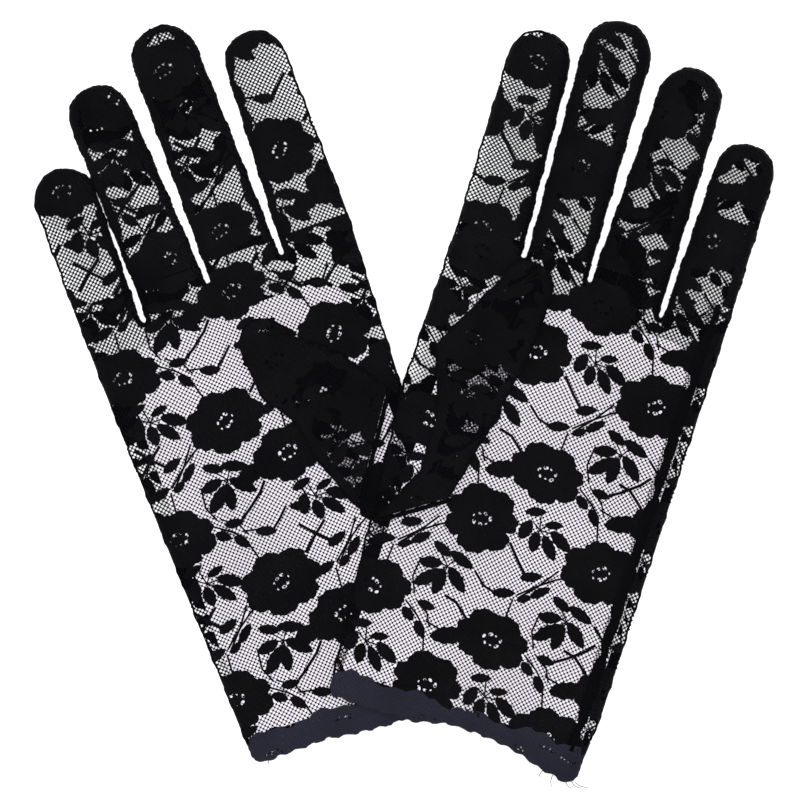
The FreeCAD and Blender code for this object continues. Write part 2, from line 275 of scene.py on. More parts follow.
def closed_edges(loop, open_heights):
    """The outline's segments, without those along its open ends."""
    return np.array([segment for segment in segments_of(loop)
                     if not on_open_end(segment[:2], segment[2:], open_heights)])


def runs_of(loop, open_heights):
    """The stretches of an outline between its open ends, each a list of points."""
    points = list(map(tuple, loop))
    is_open = [on_open_end(here, there, open_heights)
               for here, there in zip(points, points[1:] + points[:1])]
    first = is_open.index(True) + 1
    order = [(first + step) % len(points) for step in range(len(points))]
    runs, run = [], []
    for number in order:
        run.append(points[number])
        if is_open[number]:
            runs.append(np.array(run))
            run = []
    return [run for run in runs if len(run) > 1]


def resample(path, step):
    """Points evenly spaced along a path."""
    lengths = np.concatenate([[0], np.cumsum(np.linalg.norm(np.diff(path, axis=0), axis=1))])
    count = max(2, int(round(lengths[-1] / step)) + 1)
    at = np.linspace(0, lengths[-1], count)
    return np.column_stack([np.interp(at, lengths, path[:, axis]) for axis in range(path.shape[1])])


def shifted(path, distance):
    """A path moved sideways, to its left."""
    run = np.gradient(path, axis=0)
    run /= np.maximum(np.linalg.norm(run, axis=1), 1e-9)[:, None]
    return path + np.reshape(distance, (-1, 1)) * np.column_stack([-run[:, 1], run[:, 0]])


# ---- how high a layer lies ----

class Layer:
    """The middle of one layer of cloth: level inside, and rolled over towards its closed edges."""

    def __init__(self, glove, closed, upper, low=None, high=None, lift=0.0):
        self.glove, self.closed, self.upper = glove, closed, upper
        self.low, self.high, self.lift = low, high, lift

    def height(self, points):
        """How high the layer's middle lies at each point."""
        low = self.glove.floor(points) if self.low is None else np.full(len(points), self.low)
        high = self.glove.top if self.high is None else self.high
        near = np.clip(edge_distance(points, self.closed) / ROLL, 0, 1)
        drop = EDGE_DROP * (high - low) * (1 - np.sqrt(1 - (1 - near) ** 2))
        u, v = points.T
        wave = WAVES * near * (np.sin(0.11 * u + 0.05 * v) + np.sin(0.07 * v - 0.09 * u + 1.3)) / 2
        if self.upper:
            return high - CLOTH / 2 - drop + wave + self.lift
        return low + CLOTH / 2 + drop - self.lift


# ---- meshes ----

class MeshParts:
    """Corners and faces gathered for one piece, with a material number for each face."""

    def __init__(self):
        self.spots, self.faces, self.finishes, self.count = [], [], [], 0

    def add(self, spots, faces, finish):
        if len(spots) == 0 or len(faces) == 0:
            return
        self.spots.append(np.asarray(spots, float))
        self.faces += [tuple(int(number) + self.count for number in face) for face in faces]
        self.finishes += [finish] * len(faces)
        self.count += len(spots)


def make_piece(name, glove, parts, materials, smooth=False):
    """One object from gathered parts."""
    mesh = bpy.data.meshes.new(name)
    mesh.from_pydata(glove.world(np.concatenate(parts.spots)).tolist(), [], parts.faces)
    for material in materials:
        mesh.materials.append(material)
    mesh.polygons.foreach_set("material_index", parts.finishes)
    mesh.polygons.foreach_set("use_smooth", [smooth] * len(parts.faces))
    mesh.update()
    piece = bpy.data.objects.new(name, mesh)
    bpy.context.scene.collection.objects.link(piece)
    return piece


PRISM = np.array([[0, 1, 4, 3], [1, 2, 5, 4], [2, 0, 3, 5]])
PRISM_ENDS = [(0, 2, 1), (3, 4, 5)]
BEAD = [(0, 1, 4), (1, 2, 4), (2, 3, 4), (3, 0, 4), (1, 0, 5), (2, 1, 5), (3, 2, 5), (0, 3, 5)]


def add_threads(parts, starts, ends, width, finish):
    """A three-sided thread between each pair of spots."""
    run = ends - starts
    run /= np.maximum(np.linalg.norm(run, axis=1), 1e-9)[:, None]
    across = np.column_stack([-run[:, 1], run[:, 0], np.zeros(len(run))])
    across *= width / 2 / np.maximum(np.linalg.norm(across, axis=1), 1e-9)[:, None]
    up = np.array([0, 0, width * 0.5])
    rings = [end + offset for end in (starts, ends) for offset in (across - up / 2, up, -across - up / 2)]
    spots = np.stack(rings, axis=1).reshape(-1, 3)
    base = (np.arange(len(starts)) * 6)[:, None]
    sides = np.concatenate([base + row for row in PRISM])
    caps = np.concatenate([base + np.array(row) for row in PRISM_ENDS])
    parts.add(spots, [*map(tuple, sides), *map(tuple, caps)], finish)


def add_beads(parts, middles, radius, finish):
    """A small flattened knot at each spot."""
    offsets = np.array([[radius, 0, 0], [0, radius, 0], [-radius, 0, 0], [0, -radius, 0],
                        [0, 0, radius * 0.6], [0, 0, -radius * 0.5]])
    spots = (middles[:, None, :] + offsets[None]).reshape(-1, 3)
    base = (np.arange(len(middles)) * 6)[:, None]
    faces = np.concatenate([base + np.array(row) for row in BEAD])
    parts.add(spots, list(map(tuple, faces)), finish)


def add_patch(parts, layer, outline, motifs, holes, finish, thickness=MOTIF_THICKNESS):
    """Solid lace: whatever motifs cover of an outline, less the holes, as one closed thin sheet."""
    corners, loops = [], []
    for loop in [outline, *motifs, *holes]:
        loop = loop if area_of(loop) > 0 else loop[::-1]
        loops.append(list(range(len(corners), len(corners) + len(loop))))
        corners += [Vector(point) for point in loop]
    low, high = outline.min(axis=0), outline.max(axis=0)
    grid = np.stack(np.meshgrid(np.arange(low[0], high[0], PATCH_STEP),
                                np.arange(low[1], high[1], PATCH_STEP)), axis=-1).reshape(-1, 2)
    rim = [shifted(resample(np.array([segment[:2], segment[2:]]), PATCH_STEP), inset)
           for segment in segments_of(outline) for inset in RIM_INSETS]
    extra = np.concatenate([grid, *rim])
    extra = extra[inside(extra, outline)]
    corners += [Vector(point) for point in extra]
    found = geometry.delaunay_2d_cdt(corners, [], loops, 0, 1e-5, True)
    flat, triangles, origins = found[0], found[2], found[5]
    first_hole = 1 + len(motifs)

    def is_solid(origin):
        """Whether a triangle comes from the outline and from a motif, and from no hole."""
        return 0 in origin and max(origin) < first_hole and any(number > 0 for number in origin)

    kept = [face for face, origin in zip(triangles, origins) if is_solid(origin)]
    if not kept:
        return
    used = sorted({number for face in kept for number in face})
    place = {number: spot for spot, number in enumerate(used)}
    kept = [tuple(place[number] for number in face) for face in kept]
    plan = np.array([flat[number] for number in used])
    middle = layer.height(plan)
    upper = np.column_stack([plan, middle + thickness / 2])
    under = np.column_stack([plan, middle - thickness / 2])
    size = len(plan)
    directed = {(a, b) for face in kept for a, b in zip(face, face[1:] + face[:1])}
    walls = [(a, b, b + size, a + size)[::-1] for a, b in directed if (b, a) not in directed]
    faces = kept + [tuple(number + size for number in face[::-1]) for face in kept] + walls
    parts.add(np.concatenate([upper, under]), faces, finish)


def add_net(parts, layer, outline, covered, pitch, finish, knot=KNOT_RADIUS, turn=45.0, keep=None):
    """Fine net over an outline, left out where motifs cover it."""
    middle = outline.mean(axis=0)
    reach = int(np.linalg.norm(outline - middle, axis=1).max() / pitch) + 2
    steps = np.arange(-reach, reach + 1)
    along, across = np.meshgrid(steps, steps, indexing="ij")
    origin = np.round(middle / (2 * pitch)) * 2 * pitch
    angle = math.radians(turn)
    axes = np.array([[math.cos(angle), math.sin(angle)], [-math.sin(angle), math.cos(angle)]]) * pitch
    base = np.array([np.round(origin @ axes[0] / pitch ** 2), np.round(origin @ axes[1] / pitch ** 2)])
    grid = (along[..., None] + base[0]) * axes[0] + (across[..., None] + base[1]) * axes[1]
    u, v = grid[..., 0], grid[..., 1]
    grid = grid + 0.45 * np.stack([np.sin(0.16 * v + 0.05 * u), np.sin(0.13 * u - 0.04 * v)], axis=-1)
    flat = grid.reshape(-1, 2)
    within = inside(flat, outline)
    if keep is not None:
        within &= keep(flat)
    hidden = np.zeros(len(flat), bool)
    hidden[within] = covered(flat[within])
    number = np.arange(len(flat)).reshape(grid.shape[:2])
    pairs = np.concatenate([
        np.column_stack([number[:-1, :].ravel(), number[1:, :].ravel()]),
        np.column_stack([number[:, :-1].ravel(), number[:, 1:].ravel()])])
    starts, ends = pairs.T
    both = within[starts] & within[ends] & ~(hidden[starts] & hidden[ends])
    crossing = within[starts] != within[ends]
    crossing &= ~(hidden[starts] | hidden[ends])
    segments = [(flat[starts[both]], flat[ends[both]])]
    if keep is None and crossing.any():
        swap = within[ends[crossing]]
        inner = np.where(swap[:, None], flat[ends[crossing]], flat[starts[crossing]])
        outer = np.where(swap[:, None], flat[starts[crossing]], flat[ends[crossing]])
        good, bad = inner.copy(), outer.copy()
        for _ in range(6):
            half = (good + bad) / 2
            fits = inside(half, outline)[:, None]
            good, bad = np.where(fits, half, good), np.where(fits, bad, half)
        segments.append((inner, good))
    for start, end in segments:
        if len(start):
            add_threads(parts, np.column_stack([start, layer.height(start)]),
                        np.column_stack([end, layer.height(end)]), NET_THREAD, finish)
    knots = flat[within & ~hidden]
    if len(knots):
        add_beads(parts, np.column_stack([knots, layer.height(knots)]), knot, finish)


def add_roll(parts, path, middles, wide, tall, finish, sides=8, stitch=0.16):
    """A sewn edge: a roll along a path, its thickness pulled in a little by each stitch."""
    angles = np.arange(sides) * 2 * math.pi / sides
    run = np.gradient(path, axis=0)
    run /= np.maximum(np.linalg.norm(run, axis=1), 1e-9)[:, None]
    left = np.column_stack([-run[:, 1], run[:, 0]])
    pull = 1 - stitch * (np.arange(len(path)) % 3 == 0)
    wide, tall = np.broadcast_to(wide, len(path)) * pull, np.broadcast_to(tall, len(path)) * pull
    plan = path[:, None, :] + left[:, None, :] * (wide[:, None] * np.cos(angles))[..., None]
    height = middles[:, None] + tall[:, None] * np.sin(angles)
    spots = np.concatenate([plan, height[..., None]], axis=-1).reshape(-1, 3)
    faces = []
    for ring in range(len(path) - 1):
        for side in range(sides):
            ahead = (side + 1) % sides
            faces.append((ring * sides + side, ring * sides + ahead,
                          (ring + 1) * sides + ahead, (ring + 1) * sides + side)[::-1])
    last = (len(path) - 1) * sides
    faces += [tuple(range(sides)), tuple(range(last, last + sides))[::-1]]
    parts.add(spots, faces, finish)


# ---- lace motifs, each a loop of points and the holes in it ----

def turned(points, angle, middle):
    """Points turned about zero, then moved to a middle."""
    c, s = math.cos(angle), math.sin(angle)
    return np.asarray(points) @ np.array([[c, s], [-s, c]]) + np.asarray(middle)


def flower(middle, wide, tall, angle):
    """A blossom with frilled petals and a ring of small openings round its eye."""
    around = np.linspace(0, 2 * math.pi, 96, endpoint=False)
    petal = np.abs(np.sin(3.5 * (around + angle) + 0.25 * np.sin(2 * around))) ** 0.5
    frill = np.abs(np.sin(10 * around + angle)) ** 0.7
    reach = 0.74 + 0.20 * petal + 0.06 * frill + 0.05 * np.sin(2 * around + 3 * angle)
    loop = np.column_stack([np.cos(around) * wide, np.sin(around) * tall]) * reach[:, None]
    holes = []
    for number in range(7):
        at = angle + number * 2 * math.pi / 7
        size = 0.28 + 0.11 * ((number * 3) % 4)
        rim = np.linspace(0, 2 * math.pi, 7, endpoint=False)
        hole = np.column_stack([np.cos(rim) * size * 1.5, np.sin(rim) * size])
        reach_out = 2.2 + 0.5 * math.sin(5 * at)
        spot = (reach_out * 1.1 * math.cos(at), reach_out * math.sin(at))
        holes.append(turned(hole, at + 1.4, spot) + np.asarray(middle))
    return loop + np.asarray(middle), holes


def leaf(middle, length, width, angle):
    """A pointed leaf with toothed edges, about its middle."""
    along = np.linspace(0, 1, 10)
    tooth = 1 + 0.09 * np.where(np.arange(10) % 2, 1, -1)
    half = width / 2 * np.sin(math.pi * along ** 0.9) ** 0.7 * tooth
    upper = np.column_stack([(along - 0.5) * length, half])
    lower = np.column_stack([(along - 0.5) * length, -half])[-2:0:-1]
    return turned(np.concatenate([upper, lower])[::-1], angle, middle)


def vine(points, width):
    """A corded line through some points."""
    loops = []
    for here, there in zip(points, points[1:]):
        here, there = np.asarray(here, float), np.asarray(there, float)
        run = (there - here) / np.linalg.norm(there - here)
        side = np.array([-run[1], run[0]]) * width / 2
        here, there = here - run * width / 3, there + run * width / 3
        loops.append(np.array([here - side, there - side, there + side, here + side]))
    return loops


# One repeat of the lace, about its large flower: the flowers, then every leaf's middle, length, width and
# direction in degrees, then the vines and their width.
FLOWERS = [((0, 0), 12.3, 10.6, 0.4), ((-27.4, -31.8), 12.0, 9.2, 1.1)]
LEAVES = [
    (-9.3, -13.4, 7.2, 3.2, 155), (-2.0, -15.0, 9.2, 3.6, -20), (-11.3, -18.8, 7.8, 3.8, 12),
    (-10.5, -23.5, 11.0, 4.3, 42), (-6.8, -24.3, 8.6, 3.8, 80), (-1.5, -21.8, 9.8, 4.0, -42),
    (-26.5, 13.0, 7.0, 2.9, 15), (-19.5, 10.5, 6.0, 2.6, 15), (-15.7, 6.0, 9.2, 4.0, -30),
    (-18.8, 2.8, 9.0, 3.8, -50), (-24.0, 3.2, 6.8, 4.0, -85), (-28.0, 6.5, 7.0, 4.2, 75),
    (-21.5, -8.0, 7.2, 3.2, 22), (-28.5, -15.8, 7.6, 3.2, 15), (-17.0, -12.0, 7.4, 3.0, 42),
    (-21.5, -15.5, 5.0, 2.6, 30), (-8.5, -32.8, 6.2, 3.0, -5), (-13.0, 20.5, 5.6, 3.2, -35),
    (-7.8, 16.8, 6.2, 3.2, -50), (0.8, 17.5, 6.8, 3.2, -18), (-41.0, -34.5, 13.0, 5.5, 20),
]
VINES = [
    (0.95, [(-31.5, 0.5), (-27, -4.5), (-23.5, -8)]),
    (0.80, [(-39.5, -12), (-35.5, -15.5), (-30.5, -16.8)]),
    (0.65, [(-24, -15), (-19.5, -11), (-13.5, -6.5), (-10, -4.5)]),
    (0.65, [(-23.5, -16), (-18, -9.8), (-13.5, -3.5)]),
    (0.60, [(-25, -17), (-25.5, -24.5)]),
    (0.60, [(-15, -18.5), (-15.7, -25), (-13.5, -30)]),
    (0.60, [(-15, 24.5), (-10, 21), (-6.5, 17.5), (-5, 12), (-3.8, 8)]),
    (0.55, [(-12, 26), (-7, 22.5), (-5, 18.5)]),
    (0.60, [(-6.5, 20), (-2, 19)]),
    (0.85, [(3.5, 17.5), (6.5, 20), (9.5, 23)]),
    (0.45, [(-26.5, 9.6), (-23.5, 7.6), (-19.4, 7.6)]),
    (0.45, [(-24.6, 12.4), (-23.5, 7.6), (-23.9, 5.6)]),
    (0.45, [(-21.6, 10.0), (-23.5, 7.6), (-20.6, 5.6)]),
    (0.45, [(-9.0, -14.8), (-5.8, -18.4), (-3.6, -20.2)]),
    (0.45, [(-8.0, -18.2), (-5.8, -18.4), (-4.2, -15.8)]),
    (0.45, [(-8.0, -21.2), (-5.8, -18.4), (-6.3, -21.4)]),
]
RISING_VINE = (0.95, [(5.5, -23), (3, -26), (-2, -30), (-6, -32.7)])      # in the first column only
# what joins one column of the repeat to the next, where the grain of the two gloves differs
JOINING_LEAVES = {"left": [(14.0, 21.8, 6.6, 3.0, -12)], "right": []}
JOINING_VINES = {
    "left": [(0.95, [(11, 6.5), (14, 9.5), (20, 14.5)]), (0.7, [(17.5, 21.5), (17, 25.5), (16, 30.5)])],
    "right": [(0.95, [(-46.5, -22.5), (-42.5, -23.5), (-39.5, -26), (-35.5, -29.5)])],
}


def lace_motifs(side, low, high, grow, shift):
    """The lace's motifs and their holes, wherever the repeat falls between two corners."""
    start, across, along = (np.array(REPEAT[side][key]) for key in ("start", "across", "along"))
    loops, holes = [], []
    chooser = np.random.default_rng(7)
    for i in range(-4, 5):
        for j in range(-4, 6):
            here = start + shift + i * across + j * along
            scale = chooser.uniform(0.96, 1.05)
            if np.any(here < low - MOTIF_REACH) or np.any(here > high + MOTIF_REACH):
                continue
            for spot, wide, tall, angle in FLOWERS:
                middle = here + np.array(spot)
                loop, eyes = flower(middle, wide * scale * grow, tall * scale * grow, angle + i)
                loops.append(loop)
                holes += eyes
            for u, v, length, width, degrees in LEAVES + JOINING_LEAVES[side]:
                middle = here + np.array((u, v))
                loops.append(leaf(middle, length * grow, width * grow, math.radians(degrees)))
            for width, points in VINES + JOINING_VINES[side] + ([RISING_VINE] if i == 0 else []):
                loops += vine([here + np.array(point) for point in points], width)
    touches = [loop for loop in loops
               if np.all(loop.max(axis=0) > low) and np.all(loop.min(axis=0) < high)]
    eyes = [hole for hole in holes if np.all(hole.min(axis=0) > low) and np.all(hole.max(axis=0) < high)]
    return touches, eyes


def edge_motifs(path, chooser, inset, widths, gap=0.12):
    """Dense lace gathered along a sewn edge: overlapping leaves in a broken line."""
    spots = resample(shifted(resample(path, 1.0), inset), GATHER_STEP)
    loops = []
    for here, there in zip(spots, spots[1:]):
        middle = (here + there) / 2
        angle = math.atan2(*(there - here)[::-1]) + chooser.uniform(-0.25, 0.25)
        size = chooser.uniform(*widths)
        if chooser.uniform() > gap:
            loops.append(leaf(middle, GATHER_LENGTH, size, angle))
    return loops


def cover_of(motifs, holes=()):
    """A test for which points motifs cover, apart from their holes, where the net shows."""
    def within_any(points, loops):
        hit = np.zeros(len(points), bool)
        for loop in loops:
            near = ~hit & np.all((points >= loop.min(axis=0)) & (points <= loop.max(axis=0)), axis=1)
            if near.any():
                hit[near] = inside(points[near], loop)
        return hit

    return lambda points: within_any(points, motifs) & ~within_any(points, holes)


# ---- materials ----

MIX_FROM, MIX_TO, MIX_RESULT = 6, 7, 2      # a mix node's colour sockets, whose names aren't unique
YARN_SHEEN = 0.006
YARN_SPECULAR = 0.015


def new_material(name, colour, roughness):
    """A plain material and its shader."""
    material = bpy.data.materials.new(name)
    material.use_nodes = True
    shader = material.node_tree.nodes["Principled BSDF"]
    shader.inputs["Base Color"].default_value = (*colour, 1)
    shader.inputs["Roughness"].default_value = roughness
    return material, shader


def add_node(material, kind, **settings):
    """A shader node, with its properties and its inputs set by name."""
    node = material.node_tree.nodes.new(kind)
    for name, value in settings.items():
        if hasattr(node, name):
            setattr(node, name, value)
        else:
            node.inputs[name.replace("_", " ")].default_value = value
    return node


def thread_material(name, dark, light, roughness, scale, bump):
    """Black yarn: fine fibre relief, and a colour that wanders between two near-blacks."""
    material, shader = new_material(name, dark, roughness)
    link = material.node_tree.links.new
    place = add_node(material, "ShaderNodeTexCoord")
    cloud = add_node(material, "ShaderNodeTexNoise", Scale=scale / 12, Detail=3.0)
    link(place.outputs["Object"], cloud.inputs["Vector"])
    fibre = add_node(material, "ShaderNodeTexWave", Scale=scale, Distortion=7.0, Detail=3.0)
    fibre.bands_direction = "DIAGONAL"
    link(place.outputs["Object"], fibre.inputs["Vector"])
    share = add_node(material, "ShaderNodeMath", operation="MULTIPLY")
    link(cloud.outputs["Fac"], share.inputs[0])
    link(fibre.outputs["Fac"], share.inputs[1])
    mix = add_node(material, "ShaderNodeMix", data_type="RGBA")
    mix.inputs[MIX_FROM].default_value = (*dark, 1)
    mix.inputs[MIX_TO].default_value = (*light, 1)
    link(share.outputs[0], mix.inputs["Factor"])
    link(mix.outputs[MIX_RESULT], shader.inputs["Base Color"])
    relief = add_node(material, "ShaderNodeBump", Strength=bump, Distance=0.0002)
    link(fibre.outputs["Fac"], relief.inputs["Height"])
    link(relief.outputs["Normal"], shader.inputs["Normal"])
    shader.inputs["Sheen Weight"].default_value = YARN_SHEEN
    shader.inputs["Sheen Roughness"].default_value = 0.5
    shader.inputs["Specular IOR Level"].default_value = YARN_SPECULAR
    return material


def card_material():
    """White coated board with a faint fibre."""
    material, shader = new_material("card_board", (0.51, 0.48, 0.53), 0.55)
    link = material.node_tree.links.new
    place = add_node(material, "ShaderNodeTexCoord")
    pulp = add_node(material, "ShaderNodeTexNoise", Scale=900.0, Detail=4.0)
    link(place.outputs["Object"], pulp.inputs["Vector"])
    mix = add_node(material, "ShaderNodeMix", data_type="RGBA")
    mix.inputs[MIX_FROM].default_value = (0.482, 0.450, 0.503, 1)
    mix.inputs[MIX_TO].default_value = (0.534, 0.500, 0.556, 1)
    link(pulp.outputs["Fac"], mix.inputs["Factor"])
    link(mix.outputs[MIX_RESULT], shader.inputs["Base Color"])
    relief = add_node(material, "ShaderNodeBump", Strength=0.15, Distance=0.0001)
    link(pulp.outputs["Fac"], relief.inputs["Height"])
    link(relief.outputs["Normal"], shader.inputs["Normal"])
    return material


NET = thread_material("net_thread", (0.0010, 0.0009, 0.0016), (0.0048, 0.0044, 0.0075), 0.72, 900, 0.4)
MOTIF = thread_material("motif_yarn", (0.0003, 0.0003, 0.0005), (0.0070, 0.0068, 0.0088), 0.62, 700, 0.6)
HEM = thread_material("hem_yarn", (0.0070, 0.0072, 0.0120), (0.0230, 0.0236, 0.0360), 0.7, 700, 0.6)
SEAM = thread_material("seam_yarn", (0.0005, 0.0005, 0.0007), (0.0035, 0.0035, 0.0048), 0.7, 800, 0.6)
CARD = card_material()


# ---- pieces ----

def lace_panel(name, glove, node, layer, outline, shift, grow=MOTIF_GROWTH, extra=(), lining=0.0):
    """A panel of flowered lace in place of a CAD node, cut to its outline."""
    low, high = outline.min(axis=0), outline.max(axis=0)
    motifs, holes = lace_motifs(glove.side, low, high, grow, shift)
    motifs += extra
    parts = MeshParts()
    add_patch(parts, layer, outline, motifs, holes, 1)
    covered = cover_of(motifs, holes)
    add_net(parts, layer, outline, covered, NET_PITCH, 0)
    if lining:
        inner = Layer(glove, layer.closed, layer.upper, layer.low, layer.high, lift=-LINING_DROP)
        add_net(parts, inner, outline, covered, LINING_PITCH, 0, turn=20.0, knot=LINING_KNOT,
                keep=lambda points: edge_distance(points, layer.closed) < lining)
    piece = make_piece(name, glove, parts, [NET, MOTIF])
    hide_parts(node)
    return piece


def sewn_edge(name, glove, node, path, wide, low=None, high=None):
    """The strip between the two layers along an edge, rolled and stitched, in place of a CAD node."""
    path = resample(path, STITCH)
    along = np.arange(len(path))
    path = shifted(path, wide * 0.8 + 0.22 * np.sin(0.31 * along) + 0.13 * np.sin(0.83 * along + 1))
    low = glove.floor(path) if low is None else np.full(len(path), low)
    high = glove.top if high is None else high
    thick = high - low
    parts = MeshParts()
    add_roll(parts, path, (low + high) / 2, wide, thick * (0.5 - EDGE_DROP) + 0.45, 0)
    piece = make_piece(name, glove, parts, [SEAM], smooth=True)
    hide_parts(node)
    return piece


def build_hand(glove):
    """A glove's palm and back, and the edges between them."""
    side, body = glove.side, f"{glove.side}_hand"
    outline = outline_of(glove, f"{side}_palm_panel")
    ends = (outline[:, 1].min(), outline[:, 1].max())
    closed = closed_edges(outline, ends)
    panels = [("palm", True, (0, 0), [f"{side}_card"]), ("back", False, UNDERSIDE_SHIFT, [])]
    for name, upper, shift, under in panels:
        layer = Layer(glove, closed, upper)
        piece = lace_panel(f"{side}_{name}_lace", glove, f"{side}_{name}_panel", layer, outline,
                           shift=shift)
        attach(piece, body)
    endings = ("fourchette", "side_fold") + (("side_seam",) if side == "left" else ())
    strips = [node for node in frame["nodes"] if node.startswith(side) and node.endswith(endings)]
    middles = {node: glove.flat(node)[:, :2].mean(axis=0) for node in strips}
    for run in runs_of(outline, ends):
        node = min(strips, key=lambda name: np.linalg.norm(middles[name] - resample(run, 2).mean(axis=0)))
        sewn = node.endswith("fourchette")
        slot, wide = ("plain_net", SEAM_WIDTH) if sewn else ("seam_thread", FOLD_WIDTH)
        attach(sewn_edge(f"{node}_edge", glove, node, run, wide), body)


def outer_side(side, name):
    """Which way a finger's plain folded side faces: -1 to the left, 1 to the right, 0 for neither."""
    return {("left", "index"): 1, ("left", "little"): -1, ("right", "index"): -1}.get((side, name), 0)


def build_finger(glove, name):
    """A finger's two layers and its edge."""
    side = glove.side
    outline = outline_of(glove, f"{side}_{name}_front")
    root = outline[:, 1].min()
    closed = closed_edges(outline, (root,))
    run = runs_of(outline, (root,))[0]
    tip = int(np.argmax(run[:, 1]))
    halves = {1: run[:tip + 1], -1: run[tip:]}
    plain = outer_side(side, name)
    chooser = np.random.default_rng(FINGERS.index(name))
    drawn = np.array(FINGER_SHIFT[side][name])
    under_shift = drawn if plain else drawn + UNDERSIDE_SHIFT
    pieces = []
    for layer_name, upper, shift in (("front", True, drawn), ("back", False, under_shift)):
        layer = Layer(glove, closed, upper)
        gathers = []
        for facing, half in halves.items():
            if upper and facing != plain:
                gathers += edge_motifs(half, chooser, *GATHERS[side])
        pieces.append(lace_panel(f"{side}_{name}_{layer_name}_lace", glove, f"{side}_{name}_{layer_name}",
                                 layer, outline, shift=shift, extra=gathers,
                                 lining=0 if plain else FINGER_LINING))
    steps = resample(run, STITCH)
    centre = steps[:, 0].mean()
    wide = np.where(np.sign(steps[:, 0] - centre) == plain, FOLD_WIDTH, SEAM_WIDTH)
    # where a plain fold meets a sewn side, at the tip, the width changes gradually
    wide = np.convolve(np.pad(wide, 7, mode="edge"), np.ones(15) / 15, mode="valid")
    pieces.append(sewn_edge(f"{side}_{name}_side_edge", glove, f"{side}_{name}_side_strip", run,
                            wide))
    middle = outline[outline[:, 1] < root + 1][:, 0].mean()
    start, end = glove.world([(middle, root, glove.top), (middle, root + BEND_RUN, glove.top)])
    for piece in pieces:
        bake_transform(piece)


def build_thumb(glove):
    """The folded thumb: its two layers, its edge and the crease where it leaves the palm."""
    side, body = glove.side, f"{glove.side}_thumb"
    outline = outline_of(glove, f"{side}_thumb_over")
    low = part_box(f"{side}_thumb_under")[0][2] / MM
    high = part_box(f"{side}_thumb_over")[1][2] / MM
    root = glove.flat(f"{side}_thumb_root")[:, :2].mean(axis=0)
    segments = segments_of(outline)
    middles = (segments[:, :2] + segments[:, 2:]) / 2
    nearest = np.argmin(np.linalg.norm(middles - root, axis=1))
    closed = np.delete(segments, nearest, axis=0)
    path = np.roll(outline, -(nearest + 1), axis=0)
    chooser = np.random.default_rng(20)
    for name, upper in (("over", True), ("under", False)):
        layer = Layer(glove, closed, upper, low, high)
        gathers = edge_motifs(path, chooser, 1.4, (3.0, 5.5))
        piece = lace_panel(f"{side}_thumb_{name}_lace", glove, f"{side}_thumb_{name}", layer, outline,
                           grow=THUMB_MOTIF_GROWTH, shift=THUMB_SHIFT[name], extra=gathers,
                           lining=THUMB_LINING)
        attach(piece, body)
    edge = sewn_edge(f"{side}_thumb_edge", glove, f"{side}_thumb_seam", path, 0.8, low, high)
    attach(edge, body)
    build_thumb_gathers(glove, high)


def build_thumb_gathers(glove, high):
    """The gathered crease at the thumb's root, along the middle of its CAD strip."""
    side = glove.side
    segments = segments_of(outline_of(glove, f"{side}_thumb_root"))
    near, far = sorted(segments, key=lambda s: -np.hypot(s[2] - s[0], s[3] - s[1]))[:2]
    path = resample(np.array([(near[:2] + far[2:]) / 2, (near[2:] + far[:2]) / 2]), STITCH)
    parts = MeshParts()
    swell = 1 + 0.12 * np.sin(np.arange(len(path)) * 0.9)
    middles = np.full(len(path), (glove.top + high) / 2)
    add_roll(parts, path, middles, 0.8 * swell, (high - glove.top) / 2 * swell, 0)
    piece = make_piece(f"{side}_thumb_gathers", glove, parts, [SEAM], smooth=True)
    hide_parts(f"{side}_thumb_root")
    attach(piece, f"{side}_hand")


def hem_outline(low_u, high_u, width, sway, chooser):
    """One layer of a hem: its free edge sways, its corners are rounded, and its head is uneven."""
    across = np.linspace(low_u, high_u, 90)
    edge = np.interp(across, *sway) + 0.35 * np.sin(1.1 * across) + chooser.uniform(-0.2, 0.2, 90)
    from_side = np.minimum(across - low_u, high_u - across)
    edge += HEM_CORNER * np.clip(1 - from_side / HEM_CORNER, 0, 1) ** 2
    back = across[::-2]
    head = width + 2.2 + 1.0 * np.sin(0.31 * back) + 0.5 * np.sin(0.83 * back + 2)
    head += chooser.uniform(-0.4, 0.4, len(back))
    return np.concatenate([np.column_stack([across, edge]), np.column_stack([back, head])])


def hem_openings(places, sway, chooser):
    """Small openings in a hem, nine near each of some places."""
    holes = []
    around = np.linspace(0, 2 * math.pi, 6, endpoint=False)
    for place in places:
        for _ in range(9):
            middle = np.array(place) + chooser.uniform(-1, 1, 2) * (3.4, 0.9)
            middle[1] += np.interp(middle[0], *sway)
            size = chooser.uniform(0.18, 0.42)
            holes.append(np.column_stack([np.cos(around) * size * 1.4, np.sin(around) * size]) + middle)
    return holes


